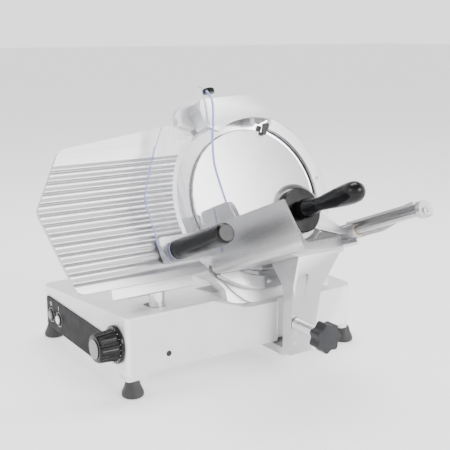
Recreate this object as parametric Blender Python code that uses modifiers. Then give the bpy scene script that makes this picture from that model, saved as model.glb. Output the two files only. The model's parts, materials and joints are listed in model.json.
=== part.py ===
"""Gravity-feed deli meat slicer with a 300 mm class blade, in metres, +Z up.

+X is the carriage's travel away from the operator, -Y is the carriage side.
The blade, gauge plate and carriage share one tilted frame, the blade frame:
x along +X, v up the blade, s out of the blade towards the carriage side.
Lengths below are in millimetres and the helpers turn them into metres.
"""
import math

import bmesh
import bpy
from mathutils import Matrix, Vector

MM = 0.001
GAP = 0.3                      # clearance between touching pieces

# Driving dimensions
FOOT_SPAN_X = 428.0            # between foot centres
FOOT_SPAN_Y = 312.0
FOOT_R = 17.5
FOOT_H = 27.0
ORIGIN_OFFSET = (-165.85, -37.25)   # front left foot, from the middle of the outline
BLADE_TILT = 22.0              # blade leans back from vertical, degrees
BLADE_CENTRE = (268.0, 52.0, 271.0)
BLADE_R = 149.0
RING_R = 153.5                 # blade guard ring
RING_INNER_R = 130.0
COVER_R = 122.0                # blade cover disc

# Base casting: side profile in Y and Z, swept along X
BASE_X0, BASE_X1 = -17.0, 442.0
BASE_FRONT_Y, BASE_BACK_Y = -16.0, 328.0
BASE_Z0 = 38.0
BASE_TOP_FRONT_Z = 133.0
BASE_TOP_BACK_Z = 99.0
BASE_CORNER_R = 34.0
BASE_FRONT_RIGHT_R = 38.0
BASE_WALL = 5.0
SADDLE_Z = 108.0               # lowered shelf in front of the blade
BAY_X = (268.0, 350.0)         # shallow bay in the front wall behind the carriage post
BAY_DEPTH = 11.0
END_DRAFT = 8.0               # the right end leans in towards its top

PANEL_Y = (58.0, 292.0)
PANEL_Z = (31.0, 87.0)
DIAL_Y, DIAL_Z = 15.0, 83.0
BUTTONS = {"stop_button": (272.0, 55.0), "start_button": (238.0, 56.0)}
BUTTON_R = 7.5

# Gauge plate
PLATE_THICK = 8.0
RIB_COUNT = 12
RIB_TOP_V = 82.5
RIB_PITCH = 15.5
RIB_DEPTH = 2.2
GAUGE_COLUMN = (56.0, 20.0)
SLIDER_Z = (82.0, 104.0)
RAIL_Z = 92.5
COLUMN_R = 12.5

# Carriage, in the blade frame
FENCE_X = -118.0
TRAY_X1 = 74.0
RIM_X1 = 56.0                  # where the slanted edge meets the arm
FLOOR_V = -110.0
TRAY_THICK = 4.0
TRAY_S0 = 6.0
FENCE_TOP_V = -38.0
FENCE_S1 = 250.0
TRAY_S1 = 126.0
ROD_X, ROD_V = 76.0, -92.0
ROD_R = 6.0
BUSH_R, BARREL_R = 8.3, 11.0
ARM_S1 = 297.0
PUSHER_X, PUSHER_V, PUSHER_S = -20.0, -47.0, 134.0
GRIP_X, GRIP_V = -180.0, -66.0
CREST_V, CREST_S1 = -11.0, 92.0

# Carriage slide under the base
SLIDE_Y, SLIDE_Z = 32.0, 60.0
SLIDE_R = 9.0
POST_X0 = 262.0
CLAMP_X, CLAMP_Z = 272.0, 80.0

COLLECTION = "deli_meat_slicer"


def clear_scene():
    for obj in list(bpy.data.objects):
        bpy.data.objects.remove(obj, do_unlink=True)


def make_collection(name):
    collection = bpy.data.collections.new(name)
    bpy.context.scene.collection.children.link(collection)
    return collection


clear_scene()
PARTS = make_collection(COLLECTION)
CUTTERS = make_collection("cutters")


# Frames ------------------------------------------------------------------

def shift(x, y, z):
    return Matrix.Translation(Vector((x, y, z)) * MM)


ROOT = shift(*ORIGIN_OFFSET, 0.0)
BLADE = ROOT @ shift(*BLADE_CENTRE) @ Matrix.Rotation(math.radians(90 - BLADE_TILT), 4, "X")
# Turned pieces are drawn about their own Z: these lay that axis along another one
ALONG_X = Matrix.Rotation(math.radians(90), 4, "Y")
ALONG_MINUS_Y = Matrix.Rotation(math.radians(90), 4, "X")
# Flat pieces are drawn in their own XY: these stand the drawing in another plane
DRAW_YZ = Matrix(((0, 0, 1, 0), (1, 0, 0, 0), (0, 1, 0, 0), (0, 0, 0, 1)))
DRAW_XZ = Matrix(((1, 0, 0, 0), (0, 0, -1, 0), (0, 1, 0, 0), (0, 0, 0, 1)))
# In the blade frame, (v, s) drawings are swept along x
DRAW_VS = DRAW_YZ
# In the blade frame, (x, s) drawings are swept down, against v
DRAW_XS = DRAW_XZ


# Materials ---------------------------------------------------------------

def material(name, colour, roughness, metallic, alpha=1.0):
    mat = bpy.data.materials.new(name)
    mat.use_nodes = True
    mat.diffuse_color = (*colour, alpha)
    shader = mat.node_tree.nodes["Principled BSDF"]
    shader.inputs["Base Color"].default_value = (*colour, 1.0)
    shader.inputs["Roughness"].default_value = roughness
    shader.inputs["Metallic"].default_value = metallic
    shader.inputs["Alpha"].default_value = alpha
    return mat


FINISHES = {
    "cast": ((0.80, 0.80, 0.81), 0.38, 0.9),
    "anodised": ((0.84, 0.84, 0.85), 0.30, 0.95),
    "steel": ((0.78, 0.78, 0.80), 0.18, 1.0),
    "blade": ((0.82, 0.82, 0.84), 0.15, 1.0),
    "black": ((0.015, 0.015, 0.016), 0.25, 0.0),
    "knob": ((0.05, 0.05, 0.055), 0.5, 0.0),
    "panel": ((0.06, 0.06, 0.065), 0.4, 0.0),
    "rubber": ((0.02, 0.02, 0.02), 0.7, 0.0),
    "white": ((0.85, 0.85, 0.85), 0.35, 0.0),
    "grey": ((0.3, 0.3, 0.31), 0.4, 0.0),
    "motor": ((0.12, 0.14, 0.16), 0.5, 0.3),
    "stone": ((0.45, 0.42, 0.38), 0.9, 0.0),
    "brass": ((0.75, 0.6, 0.3), 0.3, 1.0),
    "clear": ((0.85, 0.87, 0.95), 0.05, 0.0, 0.3),
}


# Mesh helpers ------------------------------------------------------------

def rounded(corners, steps=3):
    """Outline points in mm from (x, y, radius) corners, each corner an arc."""
    points = []
    count = len(corners)
    for i, (x, y, radius) in enumerate(corners):
        here = Vector((x, y))
        back = Vector(corners[i - 1][:2]) - here
        ahead = Vector(corners[(i + 1) % count][:2]) - here
        if radius <= 0:
            points.append(here)
            continue
        half = back.angle(ahead) / 2
        reach = min(radius / math.tan(half), 0.49 * back.length, 0.49 * ahead.length)
        start = here + back.normalized() * reach
        end = here + ahead.normalized() * reach
        for k in range(steps + 1):
            t = k / steps
            points.append(start * (1 - t) ** 2 + here * 2 * t * (1 - t) + end * t ** 2)
    return points


def arc(centre, radius, start, end, steps):
    """Points on an arc in mm, angles in degrees."""
    span = math.radians(end - start)
    angles = [math.radians(start) + span * k / steps for k in range(steps + 1)]
    return [Vector((centre[0] + radius * math.cos(a), centre[1] + radius * math.sin(a))) for a in angles]


def raw_object(name, mesh, frame):
    obj = bpy.data.objects.new(name, mesh)
    PARTS.objects.link(obj)
    obj.matrix_world = frame
    return obj


def settle(obj):
    """Applies what has been stacked on an object and welds its seams."""
    bpy.context.view_layer.update()
    graph = bpy.context.evaluated_depsgraph_get()
    mesh = bpy.data.meshes.new_from_object(obj.evaluated_get(graph))
    shape = bmesh.new()
    shape.from_mesh(mesh)
    bmesh.ops.remove_doubles(shape, verts=shape.verts, dist=0.000005)
    bmesh.ops.dissolve_degenerate(shape, edges=shape.edges, dist=0.000005)
    bmesh.ops.recalc_face_normals(shape, faces=shape.faces)
    shape.to_mesh(mesh)
    shape.free()
    frame = obj.matrix_world.copy()
    name = obj.name
    bpy.data.objects.remove(obj, do_unlink=True)
    return raw_object(name, mesh, frame)


def plate(name, outlines, low, high, frame=ROOT, bevel=0.0, segments=2):
    """Flat outline (the rest are holes), swept from low to high along the drawing's normal."""
    if not hasattr(outlines[0][0], "__len__"):
        outlines = [outlines]
    curve = bpy.data.curves.new(name, "CURVE")
    curve.dimensions = "2D"
    curve.fill_mode = "BOTH"
    curve.extrude = (high - low) / 2 * MM
    for outline in outlines:
        spline = curve.splines.new("POLY")
        spline.points.add(len(outline) - 1)
        for point, place in zip(spline.points, outline):
            point.co = (place[0] * MM, place[1] * MM, 0.0, 1.0)
        spline.use_cyclic_u = True
    obj = settle(raw_object(name, curve, frame @ shift(0, 0, (low + high) / 2)))
    if bevel:
        obj = soften(obj, bevel, segments)
    return obj


def soften(obj, width, segments=2, angle=40):
    """Rounds the sharp edges of a piece."""
    rounding = obj.modifiers.new("edges", "BEVEL")
    rounding.width = width * MM
    rounding.segments = segments
    rounding.limit_method = "ANGLE"
    rounding.angle_limit = math.radians(angle)
    return settle(obj)


def block(name, low, high, frame=ROOT, bevel=0.0, segments=2):
    """Box between two corners."""
    size = [b - a for a, b in zip(low, high)]
    centre = [(a + b) / 2 for a, b in zip(low, high)]
    shape = bmesh.new()
    bmesh.ops.create_cube(shape, size=1.0, matrix=Matrix.Diagonal((*[n * MM for n in size], 1.0)))
    mesh = bpy.data.meshes.new(name)
    shape.to_mesh(mesh)
    shape.free()
    obj = raw_object(name, mesh, frame @ shift(*centre))
    if bevel:
        obj = soften(obj, bevel, segments)
    return obj


def turned(name, profile, frame=ROOT, steps=24):
    """Solid of revolution about Z: (radius, z) points down the outer side."""
    mesh = bpy.data.meshes.new(name)
    verts = [(r * MM, 0.0, z * MM) for r, z in profile]
    closed = min(r for r, z in profile) > 0
    edges = [(i, i + 1) for i in range(len(verts) - 1)]
    if closed:
        edges.append((len(verts) - 1, 0))
    mesh.from_pydata(verts, edges, [])
    obj = raw_object(name, mesh, frame)
    screw = obj.modifiers.new("turn", "SCREW")
    screw.axis = "Z"
    screw.steps = steps
    screw.render_steps = steps
    screw.use_merge_vertices = True
    screw.merge_threshold = 0.00001
    return settle(obj)


def rod(name, radius, low, high, frame=ROOT, chamfer=0.6, steps=16):
    profile = [(0, high), (radius - chamfer, high), (radius, high - chamfer),
               (radius, low + chamfer), (radius - chamfer, low), (0, low)]
    return turned(name, profile, frame, steps)


def tube(name, inner, outer, low, high, frame=ROOT, steps=20):
    return turned(name, [(inner, high), (outer, high), (outer, low), (inner, low)], frame, steps)


def combine(obj, other, operation, keep=False):
    """Boolean of one piece with another, which is then dropped or kept."""
    step = obj.modifiers.new(operation.lower(), "BOOLEAN")
    step.operation = operation
    step.solver = "EXACT"
    step.object = other
    obj = settle(obj)
    if not keep:
        bpy.data.objects.remove(other, do_unlink=True)
    return obj


def cut(obj, *cutters):
    for cutter in cutters:
        obj = combine(obj, cutter, "DIFFERENCE")
    return obj


def join(obj, *others):
    for other in others:
        obj = combine(obj, other, "UNION")
    return obj


def trim(obj, other):
    return combine(obj, other, "INTERSECT")


def finish(obj, finish_name, smooth_angle=35):
    """Gives a piece its material and shading."""
    values = FINISHES[finish_name]
    mat = bpy.data.materials.get(finish_name) or material(finish_name, *values)
    obj.data.materials.clear()
    obj.data.materials.append(mat)
    obj.data.shade_smooth()
    obj.data.set_sharp_from_angle(angle=math.radians(smooth_angle))
    return obj


def screw_piece(name, frame, head_r=4.0, head_h=3.0, shank_r=2.0, shank=8.0):
    """Socket screw, its head's seat at Z 0 and its shank below."""
    profile = [(0, head_h - 1.6), (head_r * 0.5, head_h - 1.6), (head_r * 0.5, head_h), (head_r, head_h),
               (head_r, 0), (shank_r, 0), (shank_r, -shank), (0, -shank)]
    return finish(turned(name, profile, frame, 16), "steel")


def hole(radius, low, high, frame, steps=16):
    return turned("hole", [(0, high), (radius, high), (radius, low), (0, low)], frame, steps)


# Base --------------------------------------------------------------------

def base_profile(inset):
    """Side outline of the base in (y, z), drawn in from its outer skin."""
    slope = (BASE_TOP_BACK_Z - BASE_TOP_FRONT_Z) / (BASE_BACK_Y - BASE_FRONT_Y)
    front, back = BASE_FRONT_Y + inset, BASE_BACK_Y - inset
    bottom = BASE_Z0 if inset <= 0 else BASE_Z0 - 10
    top_front = BASE_TOP_FRONT_Z - inset + slope * inset
    top_back = BASE_TOP_BACK_Z - inset - slope * inset
    return rounded([(front, bottom, 0), (back, bottom, 0), (back, top_back, 9), (front, top_front, 6)])


def base_plan(inset):
    x0, x1 = BASE_X0 + inset, BASE_X1 - inset
    y0, y1 = BASE_FRONT_Y + inset, BASE_BACK_Y - inset
    small, big, front = 9 - inset / 2, BASE_CORNER_R - inset, BASE_FRONT_RIGHT_R - inset
    b0, b1, deep = BAY_X[0] - inset, BAY_X[1] + inset, y0 + BAY_DEPTH
    bay = [(b0, y0, 9), (b0 + 5, deep, 6), (b1 - 5, deep, 6), (b1, y0, 9)]
    return rounded([(x0, y0, small), *bay, (x1, y0, front), (x1, y1, big), (x0, y1, big)])


def base_solid(name, inset):
    """The base's outer form, or its hollow when inset."""
    solid = plate(name, base_profile(inset), BASE_X0 + inset, BASE_X1 - inset, ROOT @ DRAW_YZ)
    return trim(solid, plate("plan", base_plan(inset), 0, 200))


def saddle_cutter(inset):
    """Lowered shelf in front of the blade, with a ramp down from the left."""
    low = SADDLE_Z - inset
    outline = [(118 - inset, 170), (132 - inset, 134 - inset * 0.2), (196, low + 3), (212, low), (452, low), (452, 170)]
    cutter = plate("saddle", outline, -(78 + inset), 60, ROOT @ DRAW_XZ)
    return cutter


def draft_cutter(inset):
    x, top = BASE_X1 - inset, BASE_TOP_FRONT_Z + 10
    outline = [(x, BASE_Z0 - 12), (x + 30, BASE_Z0 - 12), (x + 30, top), (x - END_DRAFT, top)]
    return plate("draft", outline, -400, 60, ROOT @ DRAW_XZ)


def leg_block(x, y, margin, low, high):
    """Corner pad over a foot, flush with the casting's outer faces."""
    x0 = BASE_X0 + 0.2 if x < 100 else x - 20
    x1 = x + 20 if x < 100 else BASE_X1 - 0.2
    y0 = BASE_FRONT_Y + 0.2 if y < 100 else y - 20
    y1 = y + 16 if y < 100 else BASE_BACK_Y - 1.0
    low_corner = (x0 - margin, y0 - margin, low)
    return block("leg", low_corner, (x1 + margin, y1 + margin, high), bevel=6 if margin == 0 else 0)


def make_base():
    housing = base_solid("base_housing", 0.0)
    housing = cut(housing, saddle_cutter(0.0))
    housing = soften(housing, 2.5, 2, 35)
    hollow = base_solid("hollow", BASE_WALL)
    hollow = cut(hollow, saddle_cutter(BASE_WALL), draft_cutter(BASE_WALL))
    housing = cut(housing, hollow)
    for x, y in leg_places():
        leg = leg_block(x, y, 0, FOOT_H + GAP, BASE_Z0 + 14)
        housing = join(housing, trim(leg, plate("plan", base_plan(0.2), 0, 200)))
    housing = cut(housing, draft_cutter(0.0))
    for x, y in leg_places():
        housing = cut(housing, hole(3.4, 0, BASE_Z0 + 20, ROOT @ shift(x, y, 0)))
    housing = cut(housing, *base_openings())
    return finish(housing, "cast", 30)


def leg_places():
    return [(x, y) for x in (0.0, FOOT_SPAN_X) for y in (0.0, FOOT_SPAN_Y)]


def base_openings():
    """Holes for the column, dial shaft, buttons, drive, cord gland and front screw."""
    cutters = []
    x, y = GAUGE_COLUMN
    slot = rounded([(x - 13.3, y - 13.5, 13), (x + 13.3, y - 13.5, 13), (x + 13.3, y + 28, 13), (x - 13.3, y + 28, 13)], 5)
    cutters.append(plate("column_slot", slot, 100, 160))
    cutters.append(hole(8.5, -30, 30, ROOT @ shift(BASE_X0, DIAL_Y, DIAL_Z) @ ALONG_X))
    for place in BUTTONS.values():
        cutters.append(hole(BUTTON_R + 1.5, -20, 20, ROOT @ shift(BASE_X0, *place) @ ALONG_X))
    cutters.append(block("drive_window", (218, 26, 90), (318, 176, 190)))
    cutters.append(hole(8.5, -30, 30, ROOT @ shift(60, BASE_BACK_Y, 62) @ ALONG_MINUS_Y))
    cutters.append(hole(3.2, -9, 30, ROOT @ shift(56.5, BASE_FRONT_Y, 62) @ ALONG_MINUS_Y))
    return cutters


def make_bottom_plate():
    sheet = plate("bottom_plate", base_plan(BASE_WALL + 1.0), BASE_Z0 - 2.0, BASE_Z0)
    slot = rounded([(20, 20, 12), (396, 20, 12), (396, 44, 12), (20, 44, 12)])
    sheet = cut(sheet, plate("carriage_slot", slot, 0, 80), draft_cutter(BASE_WALL + 1.0))
    for x, y in leg_places():
        sheet = cut(sheet, leg_block(x, y, 1.0, 0, 90))
    return finish(sheet, "anodised")


def make_feet():
    profile = [(0, FOOT_H + 16), (3.0, FOOT_H + 16), (3.0, FOOT_H), (9.5, FOOT_H), (11.0, FOOT_H - 3), (13.0, 17),
               (16.6, 9), (FOOT_R, 7), (FOOT_R, 2.0), (FOOT_R - 2, 0), (0, 0)]
    for i, (x, y) in enumerate(leg_places()):
        place = ROOT @ shift(x, y, 0)
        label = ("front" if y < 100 else "back") + "_" + ("left" if x < 100 else "right")
        finish(turned("foot_" + label, profile, place, 20), "rubber")


def make_panel():
    x = BASE_X0
    (y0, y1), (z0, z1) = PANEL_Y, PANEL_Z
    outline = rounded([(y0, z0 + 16, 14), (y0 + 26, z0, 10), (y1, z0, 7), (y1, z1, 7), (y0, z1, 12)])
    panel = plate("control_panel", outline, x - 2.3, x - GAP, ROOT @ DRAW_YZ, bevel=0.5, segments=1)
    for place in BUTTONS.values():
        panel = cut(panel, hole(BUTTON_R + 1.5, -20, 20, ROOT @ shift(x, *place) @ ALONG_X))
    finish(panel, "panel")
    for name, place in BUTTONS.items():
        frame = ROOT @ shift(x, *place) @ ALONG_X
        collar = name.replace("button", "bezel")
        ring = [(BUTTON_R + 0.4, -2.6), (BUTTON_R + 3.5, -2.6), (BUTTON_R + 3.5, -4.0), (BUTTON_R + 0.4, -4.8)]
        finish(turned(collar, ring, frame, 24), "black")
        top = -6.5
        cap = [(0, top), (BUTTON_R - 1.0, top), (BUTTON_R, top + 1.0), (BUTTON_R, 6.0), (0, 6.0)]
        finish(turned(name, list(reversed(cap)), frame, 24), "white" if name == "start_button" else "grey")
    switch = block("switch_block", (x + 12, 218, 44), (x + 40, 280, 68), bevel=1.5)
    finish(switch, "black")


def make_dial():
    frame = ROOT @ shift(BASE_X0, DIAL_Y, DIAL_Z) @ ALONG_X
    flange = [(0, -1.0), (29.0, -1.0), (30.0, -2.0), (30.0, -5.0), (29.0, -6.5), (24.5, -7.5), (24.5, -9.0),
              (22.5, -34.0), (20.5, -37.0), (18.0, -37.6), (0, -37.6)]
    dial = turned("thickness_dial", flange, frame, 32)
    for k in range(10):
        turn = Matrix.Rotation(math.radians(36 * k), 4, "Z")
        flute = hole(3.6, -45, -9.6, frame @ turn @ shift(25.2, 0, 0), 8)
        dial = cut(dial, flute)
    bore = hole(6.0, -24, 0, frame)
    dial = cut(dial, bore)
    finish(dial, "black")
    finish(rod("dial_cap", 15.5, -39.6, -37.9, frame, 0.8, 20), "grey")
    finish(rod("dial_shaft", 5.7, -23.5, 42.5, frame), "steel")
    cam = turned("dial_cam", [(6.0, 41.5), (19.0, 41.5), (19.0, 35.5), (6.0, 35.5)], frame, 32)
    finish(cam, "steel")


# Gauge plate ---------------------------------------------------------------

def gauge_outline():
    left = rounded([(-136, 138, 0), (-332, 112, 22), (-383, 23, 16), (-345, -107, 16), (-126, -107, 0)])
    return left + arc((0, 0), RING_R + 4, 222, 131, 14)


def rib_profile():
    """Front face of the plate in (v, s): rounded ridges between grooves."""
    face = -1.0
    back = face - PLATE_THICK
    points = [(-160, back), (-160, face)]
    for k in reversed(range(RIB_COUNT)):
        v = RIB_TOP_V - k * RIB_PITCH
        points += [(v - 5.4, face - 0.25), (v - 2.4, face - RIB_DEPTH * 0.75), (v, face - RIB_DEPTH),
                   (v + 2.4, face - RIB_DEPTH * 0.75), (v + 6.2, face)]
    return points + [(160, face), (160, back)]


def make_gauge():
    sheet = plate("gauge_plate", rib_profile(), -400, -60, BLADE @ DRAW_VS)
    sheet = trim(sheet, plate("outline", gauge_outline(), -30, 30, BLADE))
    finish(sheet, "anodised", 50)
    back = -1.0 - PLATE_THICK - GAP
    rail = block("gauge_bracket", (-290, -124, back - 8), (-146, -97, back), BLADE, bevel=1.5)
    foot = block("bracket_foot", (-245, -124, back - 45), (-185, -116, back - 6), BLADE, bevel=1.5)
    rail = join(rail, foot)
    finish(rail, "cast")
    for side, x in (("left", -255), ("right", -170)):
        place = BLADE @ shift(x, -110.5, back - 8 - GAP) @ Matrix.Rotation(math.pi, 4, "X")
        screw_piece("gauge_screw_" + side, place, 4.5, 4.0, 2.4, 0.1)
    x, y = GAUGE_COLUMN
    foot = SLIDER_Z[1] + GAP
    column = turned("gauge_column", [(0, 190), (COLUMN_R, 190), (COLUMN_R, foot), (0, foot)], ROOT @ shift(x, y, 0), 32)
    over = block("over", (-400, -124 - GAP, -200), (0, 60, 60), BLADE)
    column = cut(column, over)
    finish(column, "steel")
    slider = block("gauge_slider", (x - 17, y - 19, SLIDER_Z[0]), (x + 17, y + 19, SLIDER_Z[1]), bevel=2)
    axis = ROOT @ shift(x, y, RAIL_Z) @ Matrix.Rotation(math.radians(90 - BLADE_TILT), 4, "X")
    slider = cut(slider, hole(6.4, -60, 60, axis))
    finish(slider, "cast")
    finish(rod("gauge_rail", 6.0, -60, 30.6, axis), "steel")
    pin = rod("cam_follower", 3.0, 0, 12.0, ROOT @ shift(x - 30, y - 5, RAIL_Z) @ ALONG_X, 0.5, 16)
    finish(pin, "steel")


# Blade and drive -----------------------------------------------------------

MOTOR_V = -120.0
BLADE_PULLEY_R, MOTOR_PULLEY_R = 58.0, 20.0
PULLEY_S = (-46.0, -33.0)


def over_base(margin=GAP):
    """Everything below the base's top skin, for trimming what stands on it."""
    solid = base_solid("under", -margin)
    saddle = saddle_cutter(-margin)
    return cut(solid, saddle)


def keyhole(top_r, low_r, low_v):
    """Outline round two circles, one at the blade centre and one below it."""
    lean = math.degrees(math.asin((top_r - low_r) / abs(low_v)))
    return arc((0, 0), top_r, -lean, 180 + lean, 24) + arc((0, low_v), low_r, 180 + lean, 360 - lean, 12)


def make_blade():
    profile = [(9.3, 0.4), (30, 0.4), (36, -3.2), (112, -3.2), (118, -2.6), (124, -2.2), (BLADE_R, 0.6),
               (BLADE_R, 0.2), (126, -5.2), (112, -6.4), (9.3, -6.4)]
    finish(turned("blade", [(r, s - 5.0) for r, s in profile], BLADE, 48), "blade")
    cover = [(0, -3.0), (COVER_R - 1.2, -3.0), (COVER_R, -3.8), (COVER_R, -6.6), (40, -6.6), (38, -4.4), (0, -4.4)]
    finish(turned("blade_cover", [(r, s + 1.6) for r, s in cover], BLADE, 40), "anodised")
    spindle = [(0, -5.3), (9.0, -5.3), (9.0, -12.2), (12.0, -12.2), (12.0, -31.0), (9.0, -31.0), (9.0, -50.0), (0, -50.0)]
    finish(turned("blade_spindle", spindle, BLADE, 24), "steel")
    for name, low, high in (("front_bearing", -21.5, -15.5), ("rear_bearing", -29.5, -23.5)):
        finish(tube(name, 12.3, 20.0, low, high, BLADE, 24), "steel")
    low, high = PULLEY_S
    finish(tube("blade_pulley", 9.3, BLADE_PULLEY_R, low, high, BLADE, 32), "cast")
    frame = BLADE @ shift(0, MOTOR_V, 0)
    finish(tube("motor_pulley", 6.3, MOTOR_PULLEY_R, low, high, frame, 24), "steel")
    belt = plate("drive_belt", [keyhole(BLADE_PULLEY_R + 3.6, MOTOR_PULLEY_R + 3.6, MOTOR_V),
                                keyhole(BLADE_PULLEY_R + 0.4, MOTOR_PULLEY_R + 0.4, MOTOR_V)], low + 1.5, high - 1.5, BLADE)
    finish(belt, "rubber")
    motor = turned("motor", [(0, -31), (6.0, -31), (6.0, -58), (15, -58), (15, -62.4), (44, -62.4), (48, -66),
                             (48, -160), (42, -168), (0, -168)], frame, 32)
    finish(motor, "motor")


def make_carrier():
    """The casting that stands on the base and holds the spindle."""
    disc = plate("blade_carrier", keyhole(127.0, 96.0, -84.0), -30.0, -15.0, BLADE)
    outline = [(-112, -108), (-90, -62), (112, -62), (128, -120), (128, -180), (-86, -180), (-86, -140)]
    neck = plate("neck", outline, -42.0, -18.0, BLADE)
    disc = join(disc, neck, slice_rim())
    disc = cut(disc, over_base())
    pocket = plate("pocket", keyhole(66.0, 27.0, MOTOR_V), -60, -30.2, BLADE)
    disc = cut(disc, pocket)
    disc = cut(disc, hole(20.3, -31, -10, BLADE, 24))
    return finish(disc, "cast", 30)


def make_drive_covers():
    low, high = -57.0, -30.3
    shell = plate("drive_housing", keyhole(82.0, 58.0, MOTOR_V), low, high, BLADE, bevel=3)
    shell = cut(shell, plate("hollow", keyhole(78.0, 54.0, MOTOR_V), low + 4, high + 5, BLADE))
    neck_room = block("neck_room", (-200, -240, -42.3), (200, -60, 0), BLADE)
    shell = cut(shell, neck_room, hole(15.5, -70, -40, BLADE @ shift(0, MOTOR_V, 0), 24), over_base())
    finish(shell, "cast", 30)
    frame = BLADE @ shift(0, MOTOR_V, 0)
    profile = [(0, -57.3), (58, -57.3), (58, -172), (50, -180), (0, -180)]
    cover = turned("motor_cover", profile, frame, 32)
    inner = [(0, -50), (54.5, -50), (54.5, -170), (48, -176.5), (0, -176.5)]
    cover = cut(cover, turned("hollow", inner, frame, 32), over_base())
    for k in range(5):
        cover = cut(cover, block("vent", (-26, 14 + 7 * k, -190), (26, 17 + 7 * k, -170), frame))
    finish(cover, "cast", 30)


def make_ring():
    """Guard round the blade's edge, open on the left where the slices are cut."""
    profile = [(RING_INNER_R, -1.4), (RING_INNER_R + 2, 0.8), (RING_R - 1.5, 1.6), (RING_R, 0.6), (RING_R, -12.5),
               (RING_R - 2.2, -12.5), (RING_R - 2.4, -2.0), (RING_INNER_R, -3.4)]
    ring = turned("blade_guard", profile, BLADE, 64)
    wedge = [Vector((0, 0))] + arc((0, 0), 260, 64, 229, 16)
    ring = cut(ring, plate("open_side", wedge, -40, 40, BLADE))
    return finish(ring, "anodised", 30)


def slice_rim():
    """Top left edge of the carrier, standing out past the blade."""
    outline = arc((0, 0), 110, 92, 128, 8) + arc((0, 0), 178, 125, 92, 8)
    return plate("slice_rim", outline, -26.0, -15.0, BLADE, bevel=1.5)


STONES = {"grinding_stone": (-30.0, 14.0), "deburring_stone": (2.0, 14.0)}


def stone_frame(x, s):
    """A stone's pin leans so that its face lies on the blade's bevel."""
    return BLADE @ shift(x, 149, s) @ Matrix.Rotation(math.radians(20), 4, "X")


def make_sharpener():
    outline = rounded([(-90, 121, 3), (-97, 150, 4), (-90, 168, 7), (20, 172, 9), (47, 150, 16), (40, 127, 8)])
    outline += arc((0, 0), 132, 74, 122, 12)
    body = plate("sharpener_cover", outline, 3.0, 36.0, BLADE, bevel=3.0, segments=3)
    room = block("room", (-82, 100, -5), (30, 163, 31), BLADE)
    body = cut(body, room)
    for x, s in STONES.values():
        body = join(body, rod("stone_pin", 2.5, -9, 19, stone_frame(x, s), 0.3, 12))
    finish(body, "cast", 30)
    seat = plate("sharpener_base", rounded([(-122, 134, 5), (-121, 158, 14), (-104, 172, 12), (-60, 178, 10), (10, 176, 8),
                                            (22, 158, 4)]) + arc((0, 0), 158, 80, 127, 8), -12.0, 2.7, BLADE, bevel=1.5)
    finish(seat, "cast", 30)
    knob_frame = BLADE @ shift(-62, 181.3, 20) @ Matrix.Rotation(math.radians(-90), 4, "X")
    knob = turned("sharpener_knob", [(0, 8), (8.5, 8), (10, 6.5), (10, 0), (0, 0)], knob_frame, 24)
    for k in range(8):
        turn = Matrix.Rotation(math.radians(45 * k), 4, "Z")
        knob = cut(knob, hole(2.2, -2, 10, knob_frame @ turn @ shift(11.0, 0, 0), 6))
    finish(knob, "black")
    for name, (x, s) in STONES.items():
        finish(tube(name, 2.8, 11.0, -4, 4, stone_frame(x, s), 24), "stone")
    strip = plate("rubber_stop", rounded([(38, 110, 2), (46, 107, 2), (54, 126, 2), (45, 128, 2)]), 1.9, 6.0, BLADE)
    finish(strip, "rubber")


# Carriage ------------------------------------------------------------------

def floor_outline():
    """Tray floor in (x, s)."""
    return [(FENCE_X, TRAY_S0), (TRAY_X1 + 18, TRAY_S0), (TRAY_X1 + 18, TRAY_S1), (RIM_X1, TRAY_S1),
            (FENCE_X + 30, FENCE_S1 - 24), (FENCE_X, FENCE_S1)]


def tray_section():
    """Fence, bend, floor and end wall in (x, v), one constant sheet."""
    x0, x1 = FENCE_X, TRAY_X1 + 18
    low, high = FLOOR_V - TRAY_THICK, FLOOR_V
    t = TRAY_THICK
    return rounded([(x0, FENCE_TOP_V, 1.5), (x0, low, 14), (x1, low, 4), (x1, ROD_V + 15, 1.5),
                    (x1 - t, ROD_V + 15, 1.5), (x1 - t, high, 3), (x0 + t, high, 10), (x0 + t, FENCE_TOP_V, 1.5)])


def make_tray():
    tray = plate("carriage_tray", tray_section(), TRAY_S0, FENCE_S1 + 4, BLADE)
    tray = trim(tray, plate("plan", floor_outline(), 20, 140, BLADE @ DRAW_XS))
    beyond = rounded([(FENCE_TOP_V + 8, 222, 0), (FENCE_TOP_V, 228, 12), (FLOOR_V + 12, FENCE_S1, 8),
                      (FLOOR_V - 9, FENCE_S1 + 3, 0), (FLOOR_V - 9, 280, 0), (FENCE_TOP_V + 8, 280, 0)])
    tray = cut(tray, plate("beyond", beyond, FENCE_X - 8, FENCE_X + 12, BLADE @ DRAW_VS))
    tray = join(tray, rim_strip(), fence_crest())
    tray = cut(tray, block("rim_end", (FENCE_X - 20, -130, 200), (FENCE_X - 0.01, 0, 300), BLADE))
    boss = rod("rod_boss", 10.8, TRAY_S0 + 0.4, TRAY_S0 + 12, BLADE @ shift(ROD_X, ROD_V, 0), 1.0)
    foot = block("boss_foot", (ROD_X - 6, FLOOR_V - 2, TRAY_S0 + 0.7), (ROD_X + 6, ROD_V - 4, TRAY_S0 + 11.5), BLADE)
    tray = join(tray, join(boss, foot))
    tray = cut(tray, hole(ROD_R + 0.3, TRAY_S0 + 4, 40, BLADE @ shift(ROD_X, ROD_V, 0)))
    return finish(tray, "anodised", 30)


def fence_crest():
    """Raised and thickened start of the fence, beside the blade."""
    low, s0 = FENCE_TOP_V - 2.5, TRAY_S0 + 1
    outline = rounded([(low, s0, 0), (CREST_V, s0, 8), (CREST_V, CREST_S1, 18), (low, CREST_S1 + 14, 0)])
    return plate("crest", outline, FENCE_X + 0.4, FENCE_X + 10, BLADE @ DRAW_VS, bevel=1.5, segments=1)


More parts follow.
